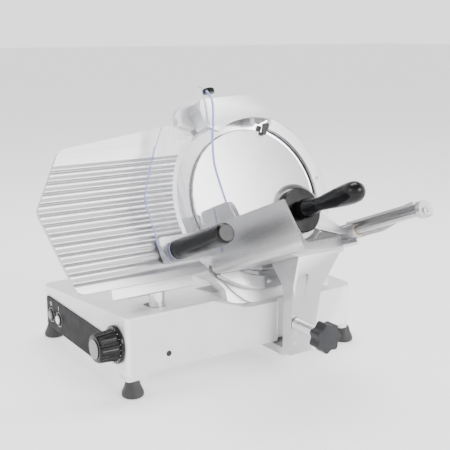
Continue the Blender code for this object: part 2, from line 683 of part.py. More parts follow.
def rim_strip():
    """Upturned lip along the tray's slanted outer edge."""
    x0, s0 = FENCE_X + 30, FENCE_S1 - 24
    x1, s1 = RIM_X1, TRAY_S1
    angle = math.atan2(s1 - s0, x1 - x0)
    length = math.hypot(x1 - x0, s1 - s0)
    turn = Matrix.Rotation(-angle, 4, "Y")
    outline = [(-30, -TRAY_THICK + 0.6), (length + 2, -TRAY_THICK + 0.6), (length + 2, 15), (length - 10, 14), (0, 7),
               (-16, 11), (-30, 26)]
    frame = BLADE @ shift(x0, FLOOR_V, s0) @ turn
    return plate("rim", outline, -TRAY_THICK - 0.5, 0.5, frame)


def make_arm():
    x0, x1 = ROD_X - 12, ROD_X + 15
    top, low = ROD_V + 15, ROD_V - 12
    side = rounded([(low, TRAY_S1 + GAP, 0), (top, TRAY_S1 + GAP, 0), (top, ARM_S1 - 30, 0), (top + 3, ARM_S1, 2),
                    (low + 1, ARM_S1, 5), (low + 3, ARM_S1 - 14, 0), (low + 10, ARM_S1 - 26, 6), (low + 7, 225, 0),
                    (low, 190, 0)])
    arm = plate("pusher_arm", side, x0, x1, BLADE @ DRAW_VS)
    inside = block("inside", (x0 - 5, low - 5, TRAY_S1 - 5), (x1 - 3.5, top - 3.5, ARM_S1 - 8), BLADE)
    arm = cut(arm, inside)
    lift_notch = block("lift_notch", (x0 - 5, ROD_V, TRAY_S1 - 5), (x1 - 3.5, top + 5, PUSHER_S + 3), BLADE)
    arm = cut(arm, lift_notch)
    corners = block("corners", (x0 - 5, low - 10, ARM_S1 - 8.5), (x1 + 5, top + 10, ARM_S1 + 5), BLADE)
    corners = cut(corners, hole(13.5, ARM_S1 - 20, ARM_S1 + 10, BLADE @ shift((x0 + x1) / 2, ROD_V + 1.5, 0), 32))
    arm = cut(arm, corners)
    arm = cut(arm, hole(3.2, ARM_S1 - 20, ARM_S1 + 5, BLADE @ shift(ROD_X, ROD_V, 0)))
    finish(arm, "cast", 30)
    finish(rod("pusher_rod", ROD_R, TRAY_S0 + 4.3, ARM_S1 - 8.3, BLADE @ shift(ROD_X, ROD_V, 0)), "steel")
    screw_piece("arm_screw", BLADE @ shift(ROD_X, ROD_V, ARM_S1 + GAP), 5.5, 3.0, 2.8, 6.0)


def make_pusher():
    axis = BLADE @ shift(ROD_X, ROD_V, 0)
    s = PUSHER_S
    barrel = rod("pusher_plate", BARREL_R, s - 20, s + 14, axis, 1.0, 20)
    web_outline = rounded([(ROD_X, ROD_V - 2, 3), (ROD_X, ROD_V + 8, 3), (ROD_X - 18, ROD_V + 8, 8),
                           (PUSHER_X + 14, PUSHER_V + 14, 8), (PUSHER_X - 10, PUSHER_V, 6),
                           (PUSHER_X + 6, PUSHER_V - 24, 8), (ROD_X - 24, ROD_V - 2, 8)])
    web = plate("web", web_outline, s - 8, s, BLADE, bevel=1.5)
    plate_frame = BLADE @ shift(PUSHER_X - 2, PUSHER_V - 4, 0)
    dish = turned("dish", [(0, s - 6), (40, s - 6), (46, s - 2), (48, s - 3), (42, s - 10), (0, s - 10)], plate_frame, 32)
    barrel = join(barrel, web, dish)
    barrel = cut(barrel, hole(BUSH_R + GAP, s - 60, s + 60, axis))
    finish(tube("pusher_bush", ROD_R + GAP, BUSH_R, s - 19.5, s + 13.5, axis, 16), "brass")
    low = block("low", (-120, FLOOR_V - 30, 0), (60, FLOOR_V + 17, 200), BLADE)
    barrel = cut(barrel, low)
    finish(barrel, "cast", 30)
    frame = BLADE @ shift(PUSHER_X, PUSHER_V, 0)
    finish(rod("pusher_disc", 35.5, s + 0.3, s + 8, frame, 1.5, 32), "black")
    handle = [(0, 139), (6, 138.2), (11.5, 135), (15.2, 128.5), (16.2, 118), (15.6, 102), (14.0, 82), (12.0, 62),
              (10.6, 46), (10.6, 36), (12.4, 28), (14.6, 18), (15.2, 8), (13.0, 0.4), (0, 0.4)]
    finish(turned("pusher_handle", [(r, s + 8 + h) for r, h in handle], frame, 20), "black")


def make_grip():
    x, v = GRIP_X, GRIP_V
    inner = FENCE_X - GAP
    bracket_outline = rounded([(x - 25, -42, 4), (x - 25, -50, 3), (x - 19, -84, 6), (inner, -84, 0), (inner, -42, 0)])
    bracket = plate("grip_bracket", bracket_outline, 2.6, 14.0, BLADE, bevel=2.5, segments=3)
    bracket = cut(bracket, hole(4.3, 0, 60, BLADE @ shift(x, v, 0)))
    finish(bracket, "cast", 30)
    frame = BLADE @ shift(x, v, 0)
    grip = [(0, 168), (12, 168), (15, 165), (16, 160), (16, 26), (15, 20), (14, 14.4), (0, 14.4)]
    grip = turned("carriage_grip", grip, frame, 24)
    grip = join(grip, rod("stud", 4.0, 4.0, 40.0, frame))
    finish(grip, "black")


def make_hand_guard():
    """Clear shield between the grip and the blade, bent round the fence."""
    line = [(-222, 24), (-186, 24), (-172, 30), (-158, 40), (-130, 46), (-92, 46)]
    outline = [(x, s) for x, s in line] + [(x - 0.6, s + 3) for x, s in reversed(line)]
    sheet = plate("hand_guard", outline, -190, 120, BLADE @ DRAW_XS)
    trimmed = rounded([(-222, 20, 12), (-170, 128, 16), (-98, 186, 10), (-74, 176, 8), (-80, 130, 30), (-100, 60, 40),
                       (-92, -6, 30), (-84, -78, 8), (-150, -88, 4), (-196, -88, 4), (-214, -60, 10)])
    sheet = trim(sheet, plate("outline", trimmed, -20, 90, BLADE))
    sheet = cut(sheet, hole(17.0, 10, 80, BLADE @ shift(GRIP_X, GRIP_V, 0), 32))
    room = block("fence_room", (FENCE_X - GAP - 1, -140, 0), (-60, CREST_V + 1.5, 90), BLADE)
    sheet = cut(sheet, room)
    return finish(sheet, "clear", 25)


def make_post():
    side = [(-56, 25), (-36, 25), (-37, 123), (-29, 143), (-12, 161), (0, 173), (0, 260), (-80, 260), (-75, 205), (-61, 143),
            (-59, 100)]
    post = plate("carriage_post", side, 250, 370, ROOT @ DRAW_YZ)
    front = rounded([(POST_X0, 20, 0), (307, 20, 6), (321, 125, 30), (328, 142, 20), (350, 192, 2), (358, 193, 2), (360, 300, 0),
                     (POST_X0, 300, 0)])
    post = trim(post, plate("front", front, -80, 120, ROOT @ DRAW_XZ))
    above = block("above", (-200, FLOOR_V - TRAY_THICK - GAP, -60), (200, 100, 200), BLADE)
    post = cut(post, above)
    post = soften(post, 2.0, 2, 35)
    pocket = block("pocket", (POST_X0 + 6, -90, 108), (POST_X0 + 30, -57.5, 165), bevel=8)
    post = cut(post, pocket)
    axis = ROOT @ shift(CLAMP_X, 0, CLAMP_Z) @ ALONG_MINUS_Y
    post = cut(post, hole(4.3, 20, 90, axis))
    finish(post, "cast", 30)
    return post


def make_slider():
    arm = block("slider_block", (262, -35.7, 17), (308, 92, 33), bevel=3)
    neck = block("neck", (256, 24, 20), (302, 40, 56), bevel=2)
    barrel = rod("barrel", 14.0, 250, 308, ROOT @ shift(0, SLIDE_Y, SLIDE_Z) @ ALONG_X, 1.0, 32)
    slider = join(arm, neck, barrel)
    slider = cut(slider, hole(SLIDE_R + 0.06, 200, 400, ROOT @ shift(0, SLIDE_Y, SLIDE_Z) @ ALONG_X, 24))
    return finish(slider, "cast", 30)


def make_slide():
    frame = ROOT @ shift(0, SLIDE_Y, SLIDE_Z) @ ALONG_X
    finish(rod("slide_rod", SLIDE_R, BASE_X0 + 5.3, BASE_X1 - 8.5, frame, 1.0, 24), "steel")


def make_clamp():
    axis = ROOT @ shift(CLAMP_X, 0, CLAMP_Z) @ ALONG_MINUS_Y
    finish(tube("clamp_stem", 4.4, 11.0, 60.6, 120.0, axis, 20), "steel")
    lobes = []
    for k in range(56):
        a = 2 * math.pi * k / 56
        lobes.append(Vector((math.cos(a), math.sin(a))) * (22.5 + 2.4 * math.cos(7 * a)))
    knob = plate("clamp_knob", lobes, 120.5, 142.0, axis)
    knob = soften(knob, 2.0, 1, 50)
    knob = join(knob, rod("stud", 4.0, 40.0, 132.0, axis, 0.6, 12))
    return finish(knob, "knob", 40)


def make_gland():
    frame = ROOT @ shift(60, BASE_BACK_Y, 62) @ ALONG_MINUS_Y
    profile = [(4.2, -9.5), (8.0, -9.5), (11.0, -7.0), (11.0, -0.3), (8.2, -0.3), (8.2, 8.0), (4.2, 8.0)]
    finish(turned("cord_gland", list(reversed(profile)), frame, 24), "black")


make_base()
make_bottom_plate()
make_feet()
make_panel()
make_dial()
make_gauge()
make_blade()
make_carrier()
make_drive_covers()
make_ring()
make_sharpener()
make_tray()
make_arm()
make_pusher()
make_grip()
make_hand_guard()
make_post()
make_slider()
make_slide()
make_clamp()
make_gland()
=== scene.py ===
"""Deli meat slicer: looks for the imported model, in its own frame, in metres."""

import json
import math

import bmesh
import bpy
from mathutils import Matrix, Vector


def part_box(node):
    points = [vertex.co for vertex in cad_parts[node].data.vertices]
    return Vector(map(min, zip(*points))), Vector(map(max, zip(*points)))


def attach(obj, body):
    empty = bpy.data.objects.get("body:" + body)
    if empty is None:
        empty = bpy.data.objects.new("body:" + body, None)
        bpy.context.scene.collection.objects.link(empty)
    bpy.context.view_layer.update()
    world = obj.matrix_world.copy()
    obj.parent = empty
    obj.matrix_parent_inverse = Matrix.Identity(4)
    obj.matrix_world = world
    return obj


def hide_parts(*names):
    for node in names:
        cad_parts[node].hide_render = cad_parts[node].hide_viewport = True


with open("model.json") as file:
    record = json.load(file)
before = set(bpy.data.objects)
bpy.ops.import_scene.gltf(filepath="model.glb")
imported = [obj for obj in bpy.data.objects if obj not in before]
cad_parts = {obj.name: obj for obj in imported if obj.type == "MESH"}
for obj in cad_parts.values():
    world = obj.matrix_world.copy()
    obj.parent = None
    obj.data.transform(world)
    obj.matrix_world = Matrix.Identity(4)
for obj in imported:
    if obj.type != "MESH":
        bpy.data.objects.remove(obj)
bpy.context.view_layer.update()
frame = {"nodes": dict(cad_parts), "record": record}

MM = 0.001
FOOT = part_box("foot_front_left")
ORIGIN = Vector(((FOOT[0].x + FOOT[1].x) / 2, (FOOT[0].y + FOOT[1].y) / 2, 0.0))
TILT = math.radians(22.0)
RISE = math.radians(90.0) - TILT
AXLE = ORIGIN + Vector((0.268, 0.052, 0.271))
# Blade frame: x along the travel, y up the blade, z out of it towards the carriage
BLADE = Matrix.Translation(AXLE) @ Matrix.Rotation(RISE, 4, "X")
OUT = BLADE.to_3x3() @ Vector((0, 0, 1))
NODES = frame["nodes"]
TO_MINUS_X = Matrix.Rotation(math.radians(-90), 4, "Y")
TO_MINUS_Y = Matrix.Rotation(math.radians(90), 4, "X")


def at(x, y, z, base=None):
    """Frame at a point in mm, in the blade frame or in the front left foot's frame."""
    base = Matrix.Translation(ORIGIN) if base is None else base
    return base @ Matrix.Translation(Vector((x, y, z)) * MM)


# Materials ----------------------------------------------------------------

class Shade:
    """A Principled material, with the few node chains that the finishes share."""

    def __init__(self, name, colour, rough, metal=0.0):
        self.mat = bpy.data.materials.new(name)
        self.mat.use_nodes = True
        self.tree = self.mat.node_tree
        self.bsdf = self.tree.nodes["Principled BSDF"]
        self.rough = rough
        self.colour = colour
        self.bsdf.inputs["Metallic"].default_value = metal
        self.bsdf.inputs["Base Color"].default_value = (*colour, 1)
        self.bsdf.inputs["Roughness"].default_value = rough
        self.mat.diffuse_color = (*colour, 1)
        self.height = None

    def new(self, kind, **values):
        node = self.tree.nodes.new(kind)
        for key, value in values.items():
            setattr(node, key, value)
        return node

    def link(self, a, b):
        self.tree.links.new(a, b)

    def place(self, scale=(1, 1, 1), matrix=None):
        """Object coordinates, scaled, and turned into a local frame if one is given."""
        coord = self.new("ShaderNodeTexCoord").outputs["Object"]
        if matrix is not None:
            turn = self.new("ShaderNodeMapping", vector_type="POINT")
            inverse = matrix.inverted()
            turn.inputs["Location"].default_value = inverse.translation
            turn.inputs["Rotation"].default_value = inverse.to_euler()
            self.link(coord, turn.inputs["Vector"])
            coord = turn.outputs["Vector"]
        mapping = self.new("ShaderNodeMapping")
        mapping.inputs["Scale"].default_value = scale
        self.link(coord, mapping.inputs["Vector"])
        return mapping.outputs["Vector"]

    def noise(self, vector, scale, detail=4.0, roughness=0.55):
        node = self.new("ShaderNodeTexNoise")
        node.inputs["Scale"].default_value = scale
        node.inputs["Detail"].default_value = detail
        node.inputs["Roughness"].default_value = roughness
        self.link(vector, node.inputs["Vector"])
        return node.outputs["Fac"]

    def spread(self, value, low, high, start=0.3, end=0.7):
        node = self.new("ShaderNodeMapRange")
        node.inputs["From Min"].default_value = start
        node.inputs["From Max"].default_value = end
        node.inputs["To Min"].default_value = low
        node.inputs["To Max"].default_value = high
        self.link(value, node.inputs["Value"])
        return node.outputs["Result"]

    def vary_rough(self, value, amount):
        result = self.spread(value, max(self.rough - amount, 0.02), self.rough + amount)
        self.link(result, self.bsdf.inputs["Roughness"])

    def vary_colour(self, value, other, start=0.35, end=0.65):
        mix = self.new("ShaderNodeMix", data_type="RGBA")
        mix.inputs[6].default_value = (*self.colour, 1)
        mix.inputs[7].default_value = (*other, 1)
        self.link(self.spread(value, 0, 1, start, end), mix.inputs[0])
        self.link(mix.outputs[2], self.bsdf.inputs["Base Color"])

    def bump(self, value, strength, distance):
        node = self.new("ShaderNodeBump")
        node.inputs["Strength"].default_value = strength
        node.inputs["Distance"].default_value = distance
        self.link(value, node.inputs["Height"])
        if self.height is not None:
            self.link(self.height, node.inputs["Normal"])
        self.height = node.outputs["Normal"]
        self.link(self.height, self.bsdf.inputs["Normal"])

    def wear(self, other, low=0.53, high=0.6):
        """Lighter, rubbed convex edges."""
        point = self.new("ShaderNodeNewGeometry").outputs["Pointiness"]
        colour = self.bsdf.inputs["Base Color"]
        mix = self.new("ShaderNodeMix", data_type="RGBA")
        if colour.links:
            self.link(colour.links[0].from_socket, mix.inputs[6])
        else:
            mix.inputs[6].default_value = colour.default_value
        mix.inputs[7].default_value = (*other, 1)
        self.link(self.spread(point, 0, 1, low, high), mix.inputs[0])
        self.link(mix.outputs[2], colour)


def cast_metal(name, colour=(0.50, 0.50, 0.51), rough=0.34, grain=1.0, metal=0.8):
    """Bead-blasted and anodised casting: fine even grain over slow waves."""
    s = Shade(name, colour, rough, metal)
    where = s.place()
    s.vary_rough(s.noise(where, 35, 5), 0.05)
    s.vary_colour(s.noise(where, 14, 3), tuple(c * 0.93 for c in colour))
    s.bump(s.noise(where, 8, 2), 0.15, 0.0012)
    s.bump(s.noise(where, 1500, 2, 0.6), 0.10 * grain, 0.0004)
    s.wear((0.93, 0.93, 0.93))
    return s.mat


def brushed(name, colour=(0.82, 0.82, 0.83), rough=0.30, metal=0.85, along=(6, 900, 900), depth=0.10):
    """Rolled sheet, brushed in one direction."""
    s = Shade(name, colour, rough, metal)
    lines = s.noise(s.place(along), 1, 4, 0.65)
    s.vary_rough(lines, 0.06)
    s.vary_colour(s.noise(s.place(), 12, 3), tuple(c * 0.94 for c in colour))
    s.bump(lines, depth, 0.0002)
    s.wear((0.95, 0.95, 0.95))
    return s.mat


def spun(name, matrix, colour=(0.84, 0.84, 0.85), rough=0.26, depth=0.08, rings=1500):
    """Turned or spun metal, with fine rings about an axis."""
    s = Shade(name, colour, rough, 0.92)
    flat = s.place((1, 1, 0), matrix)
    length = s.new("ShaderNodeVectorMath", operation="LENGTH")
    s.link(flat, length.inputs[0])
    ring = s.new("ShaderNodeTexNoise", noise_dimensions="1D")
    ring.inputs["Scale"].default_value = rings
    ring.inputs["Detail"].default_value = 4
    s.link(length.outputs["Value"], ring.inputs["W"])
    s.vary_rough(ring.outputs["Fac"], 0.05)
    s.vary_colour(s.noise(s.place(), 20, 3), tuple(c * 0.95 for c in colour))
    s.bump(ring.outputs["Fac"], depth, 0.0002)
    return s.mat


def plastic(name, colour, rough, grain=0.05, scale=900, worn=None, gloss=0.5):
    s = Shade(name, colour, rough)
    s.bsdf.inputs["Specular IOR Level"].default_value = gloss
    where = s.place()
    s.vary_rough(s.noise(where, 60, 4), min(0.06, rough * 0.4))
    s.vary_colour(s.noise(where, 25, 3), tuple(min(c * 1.25 + 0.002, 1) for c in colour))
    s.bump(s.noise(where, 45, 2), 0.05, 0.0006)
    s.bump(s.noise(where, scale, 2), grain, 0.0003)
    if worn:
        s.wear(worn, 0.54, 0.66)
    return s.mat


def rubbery(name):
    s = Shade(name, (0.018, 0.018, 0.019), 0.48)
    where = s.place()
    s.vary_rough(s.noise(where, 90, 5), 0.12)
    s.vary_colour(s.noise(where, 40, 5), (0.035, 0.034, 0.033))
    s.bump(s.noise(where, 700, 3), 0.18, 0.0004)
    return s.mat


def clear_plastic(name, colour, rough, face_on, edge_on):
    """Thin clear plastic: nearly nothing face on, and a pale sheen at a glancing angle."""
    s = Shade(name, colour, rough)
    s.bsdf.inputs["IOR"].default_value = 1.49
    where = s.place()
    s.vary_rough(s.noise(where, 30, 4), rough * 0.5)
    s.bump(s.noise(where, 9, 2), 0.04, 0.001)
    weight = s.new("ShaderNodeLayerWeight")
    weight.inputs["Blend"].default_value = 0.35
    s.link(s.spread(weight.outputs["Facing"], face_on, edge_on, 0.1, 0.95), s.bsdf.inputs["Alpha"])
    return s.mat


def stone_grit(name):
    s = Shade(name, (0.42, 0.39, 0.35), 0.9)
    where = s.place()
    s.vary_colour(s.noise(where, 2600, 3), (0.62, 0.60, 0.56))
    s.bump(s.noise(where, 2200, 4), 0.6, 0.0006)
    return s.mat


LOOKS = {
    "cast": cast_metal("cast_aluminium"),
    "anodised": brushed("anodised_sheet"),
    "steel": brushed("bright_steel", (0.74, 0.74, 0.76), 0.18, 1.0, (500, 500, 500), 0.06),
    "blade": spun("ground_blade", BLADE, (0.80, 0.80, 0.82), 0.14, 0.05, 2500),
    "black": plastic("black_gloss", (0.003, 0.003, 0.0035), 0.17, 0.03, 1200, (0.012, 0.012, 0.013), 0.26),
    "knob": plastic("charcoal_plastic", (0.022, 0.022, 0.025), 0.42, 0.12, 1500, (0.07, 0.07, 0.075), 0.3),
    "panel": plastic("panel_membrane", (0.004, 0.004, 0.005), 0.4, 0.15, 1800, None, 0.08),
    "rubber": rubbery("black_rubber"),
    "white": plastic("white_plastic", (0.86, 0.86, 0.87), 0.25, 0.03),
    "grey": plastic("grey_plastic", (0.20, 0.20, 0.205), 0.36, 0.06),
    "motor": cast_metal("motor_paint", (0.12, 0.14, 0.16), 0.5, 2.0),
    "stone": stone_grit("bonded_abrasive"),
    "brass": brushed("bronze_bush", (0.72, 0.55, 0.28), 0.3, 1.0, (500, 500, 500)),
    "clear": clear_plastic("clear_polycarbonate", (0.80, 0.81, 0.86), 0.04, 0.07, 0.75),
}
COVER_LOOK = spun("spun_cover", BLADE, (0.56, 0.56, 0.57), 0.24, 0.10, 1300)
RING_LOOK = spun("turned_ring", BLADE, (0.62, 0.62, 0.63), 0.22, 0.06, 1600)
PLATE_LOOK = brushed("ribbed_plate", (0.50, 0.50, 0.51), 0.34, 0.9, (5, 800, 800), 0.08)
TRAY_LOOK = brushed("tray_sheet", (0.55, 0.55, 0.56), 0.28, 0.9, (6, 700, 700), 0.07)
BASE_LOOK = cast_metal("base_casting", (0.78, 0.78, 0.785), 0.42, 1.0, 0.4)
# Pusher rod darker than the bright steel: painted shade, for the rod lying in the shadow of its channel.
SHADED_ROD_LOOK = brushed("pusher_rod_painted_shade", (0.42, 0.41, 0.40), 0.3, 1.0, (900, 900, 900), 0.05)
EDGE_LOOK = clear_plastic("cut_edge", (0.36, 0.38, 0.82), 0.12, 0.8, 0.97)
MARK_LOOK = plastic("printed_mark", (0.78, 0.78, 0.78), 0.5)
# Near black: painted shade, for the hollow of the front plug.
PLUG_SHADE_LOOK = plastic("plug_painted_shade", (0.012, 0.012, 0.012), 0.6)


# Carried-over nodes ---------------------------------------------------------

SLOT_OF = {part["node"]: part["material_slot"] for part in frame["record"]["subparts"]}
OWN_LOOK = {
    "base_housing": BASE_LOOK,
    "blade_cover": COVER_LOOK,
    "blade_guard": RING_LOOK,
    "gauge_plate": PLATE_LOOK,
    "carriage_tray": TRAY_LOOK,
    "pusher_rod": SHADED_ROD_LOOK,
}
# Rounding of the sharp edges, in mm, where it differs from FINE_EDGE
FINE_EDGE = 0.35
SOFT_EDGE = {
    "base_housing": 1.4,
    "carriage_post": 1.2,
    "sharpener_cover": 0.9,
    "blade_carrier": 1.2,
    "pusher_arm": 0.9,
    "carriage_tray": 0.8,
    "clamp_knob": 1.0,
    "gauge_plate": 0.6,
    "grip_bracket": 0.8,
    "slider_block": 1.0,
}


def soften(obj, width, angle=32.0):
    """Welds the seams, rounds the sharp edges and shades the rest smooth."""
    mesh = obj.data
    for name in ("custom_normal", "sharp_face", "sharp_edge"):
        attribute = mesh.attributes.get(name)
        if attribute is not None:
            mesh.attributes.remove(attribute)
    for polygon in mesh.polygons:
        polygon.use_smooth = True
    weld = obj.modifiers.new("weld", "WELD")
    weld.merge_threshold = 0.00001
    flat = obj.modifiers.new("flat", "DECIMATE")
    flat.decimate_type = "DISSOLVE"
    flat.angle_limit = math.radians(0.6)
    bevel = obj.modifiers.new("edges", "BEVEL")
    bevel.width = width * MM
    bevel.segments = 2
    bevel.limit_method = "ANGLE"
    bevel.angle_limit = math.radians(angle)
    bevel.use_clamp_overlap = True
    normal = obj.modifiers.new("normals", "WEIGHTED_NORMAL")
    normal.keep_sharp = True
    normal.weight = 80


def dress(name, obj):
    look = OWN_LOOK.get(name, LOOKS[SLOT_OF[name]])
    obj.data.materials.clear()
    obj.data.materials.append(look)
    soften(obj, SOFT_EDGE.get(name, FINE_EDGE))


for node_name, node in NODES.items():
    dress(node_name, node)


# Piece helpers ---------------------------------------------------------------

def piece(name, mesh, matrix, look, body):
    obj = bpy.data.objects.new(name, mesh)
    bpy.context.scene.collection.objects.link(obj)
    obj.matrix_world = matrix
    obj.data.materials.append(look)
    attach(obj, body)
    return obj


def lathe(name, profile, matrix, look, body, steps=32, shape=None):
    """Turned piece from (radius, height) in mm; shape(radius, angle, index) may bend it."""
    form = bmesh.new()
    rings = []
    for index, (radius, height) in enumerate(profile):
        ring = []
        for k in range(steps):
            a = 2 * math.pi * k / steps
            r = shape(radius, a, index) if shape else radius
            ring.append(form.verts.new(Vector((r * math.cos(a), r * math.sin(a), height)) * MM))
        rings.append(ring)
    for low, high in zip(rings, rings[1:]):
        for k in range(steps):
            form.faces.new((low[k], low[(k + 1) % steps], high[(k + 1) % steps], high[k]))
    form.faces.new(list(reversed(rings[0])))
    form.faces.new(rings[-1])
    bmesh.ops.recalc_face_normals(form, faces=form.faces)
    mesh = bpy.data.meshes.new(name)
    form.to_mesh(mesh)
    form.free()
    obj = piece(name, mesh, matrix, look, body)
    soften(obj, 0.15, 28)
    return obj


def slab(name, outline, low, high, matrix, look, body, edge=0.2):
    """Flat outline in mm, raised from low to high."""
    form = bmesh.new()
    base = [form.verts.new(Vector((x, y, low)) * MM) for x, y in outline]
    top = [form.verts.new(Vector((x, y, high)) * MM) for x, y in outline]
    count = len(outline)
    form.faces.new(list(reversed(base)))
    form.faces.new(top)
    for k in range(count):
        form.faces.new((base[k], base[(k + 1) % count], top[(k + 1) % count], top[k]))
    bmesh.ops.recalc_face_normals(form, faces=form.faces)
    mesh = bpy.data.meshes.new(name)
    form.to_mesh(mesh)
    form.free()
    obj = piece(name, mesh, matrix, look, body)
    soften(obj, edge, 32)
    return obj


def round_outline(cx, cy, radius, steps):
    turns = [2 * math.pi * k / steps for k in range(steps)]
    return [(cx + radius * math.cos(a), cy + radius * math.sin(a)) for a in turns]


def bar(cx, cy, length, width):
    half, side = length / 2, width / 2
    corners = ((-half, -side), (half, -side), (half, side), (-half, side))
    return [(cx + x, cy + y) for x, y in corners]


def hex_socket(radius, angle, index):
    """Keeps the head's outer rings round and makes the socket's two rings hexagonal."""
    outer_rings = 4
    if index < outer_rings:
        return radius
    return radius / math.cos((angle % (math.pi / 3)) - math.pi / 6) * 0.92


def cap_screw(name, matrix, radius, height, body):
    profile = [
        (radius, 0),
        (radius, height * 0.7),
        (radius * 0.92, height * 0.93),
        (radius * 0.8, height),
        (radius * 0.5, height),
        (radius * 0.48, height * 0.35),
    ]
    lathe(name, profile, matrix, LOOKS["steel"], body, 36, hex_socket)


# Details ----------------------------------------------------------------------

def dial_details():
    """Fluted grip and white scale on the thickness dial."""
    centre = at(-17, 15, 83) @ TO_MINUS_X
    flute_count, flute_depth, fluted_rings = 24, 0.55, (5, 6)
    mark_count, mark_radius, mark_height = 20, 27.0, 7.02

    def flutes(radius, angle, index):
        return radius + (flute_depth * math.cos(flute_count * angle) if index in fluted_rings else 0)

    skirt = [(29.0, 1.0), (30.0, 2.0), (30.0, 5.0), (29.0, 6.5), (24.8, 7.2)]
    profile = [*skirt, (24.2, 9.2), (22.2, 34.0), (20.6, 37.0), (18.0, 37.7)]
    dial = lathe("fluted_dial", profile, centre, LOOKS["black"], "dial", 144, flutes)
    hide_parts("thickness_dial")
    slope = Matrix.Rotation(math.radians(-14.0), 4, "Y")
    for k in range(mark_count):
        mark = bar(0, 0, 2.0 if k % 2 else 3.4, 0.9)
        turn = Matrix.Rotation(math.radians(360 / mark_count * k), 4, "Z")
        spot = centre @ turn @ at(mark_radius, 0, mark_height, Matrix()) @ slope
        slab(f"dial_mark_{k:02d}", mark, -0.1, 0.15, spot, MARK_LOOK, "dial", 0.03)


def printed(name, outline, face):
    """White print on the panel, 0.12 mm proud."""
    slab(name, outline, -0.1, 0.12, face, MARK_LOOK, "base", 0.02)


def ring_pieces(cx, cy, outer_radius, inner_radius, steps):
    """Short straight pieces of a ring, in order round it."""
    outer = round_outline(cx, cy, outer_radius, steps)
    inner = round_outline(cx, cy, inner_radius, steps)
    for k in range(steps):
        after = (k + 1) % steps
        yield k, [outer[k], outer[after], inner[after], inner[k]]


def panel_details():
    """Dashed printed ring round each button, and a small plain sign above it."""
    to_face = Matrix(((0, 0, -1, 0), (-1, 0, 0, 0), (0, 1, 0, 0), (0, 0, 0, 1)))
    face = at(-19.45, 0, 0) @ to_face
    stop_y, start_y, sign_z = 272, 238, 76
    for name, y, z in (("stop", stop_y, 55), ("start", start_y, 56)):
        for k, quad in ring_pieces(-y, z, 13.0, 12.2, 40):
            if k % 2 == 0:
                printed(f"{name}_tick_{k:02d}", quad, face)
    printed("start_sign", bar(-start_y, sign_z, 1.2, 7), face)
    for k, quad in ring_pieces(-stop_y, sign_z, 3.6, 2.7, 28):
        printed(f"stop_sign_{k:02d}", quad, face)


def screws():
    """Cap screws on ring, post and grip, a plain screw by the dial and a plug in the front."""
    for name, x, v in (("top", 62, 128), ("low", -10, -141), ("side", 139, 22)):
        cap_screw(f"ring_screw_{name}", at(x, v, 1.2, BLADE), 3.4, 1.6, "base")
    cap_screw("post_screw_low", at(270, -56, 46) @ TO_MINUS_Y, 3.6, 1.8, "carriage")
    cap_screw("grip_screw", at(-132, -60, 22, BLADE), 3.4, 1.8, "carriage")
    head = [(2.6, 0), (2.6, 0.9), (2.2, 1.2), (0.6, 1.0)]
    lathe("end_screw", head, at(-17, 12, 117) @ TO_MINUS_X, LOOKS["steel"], "base", 24)
    # The plug is drawn near black: painted shade in its hollow.
    plug = [(4.6, 0), (4.6, 0.5), (3.9, 0.8), (3.4, 0.2), (0.5, 0.1)]
    lathe("front_plug", plug, at(56, -16, 62) @ TO_MINUS_Y, PLUG_SHADE_LOOK, "base", 32)


def spans(node, heights):
    """Least and greatest x of a CAD node at each height of the blade frame, all in mm."""
    inverse = BLADE.inverted()
    mesh = NODES[node].data
    spots = [(inverse @ v.co) / MM for v in mesh.vertices]
    lines = [(spots[e.vertices[0]], spots[e.vertices[1]]) for e in mesh.edges]
    found = []
    for height in heights:
        crossed = []
        for a, b in lines:
            if (a.y - height) * (b.y - height) < 0:
                crossed.append(a.x + (b.x - a.x) * (height - a.y) / (b.y - a.y))
        found.append((min(crossed), max(crossed)))
    return found


RIB_TOP = 90.0
RIB_PITCH = 15.5
RIB_COUNT = 12
RIB_DEEP = 2.2
RIB_SHARPNESS = 1.4


def rib_depth(v):
    """Depth of the rounded grooves between the plate's ribs, in mm."""
    if v > RIB_TOP or v < RIB_TOP - RIB_PITCH * RIB_COUNT:
        return 0.0
    wave = 0.5 - 0.5 * math.cos(2 * math.pi * (RIB_TOP - v) / RIB_PITCH)
    return RIB_DEEP * wave ** RIB_SHARPNESS


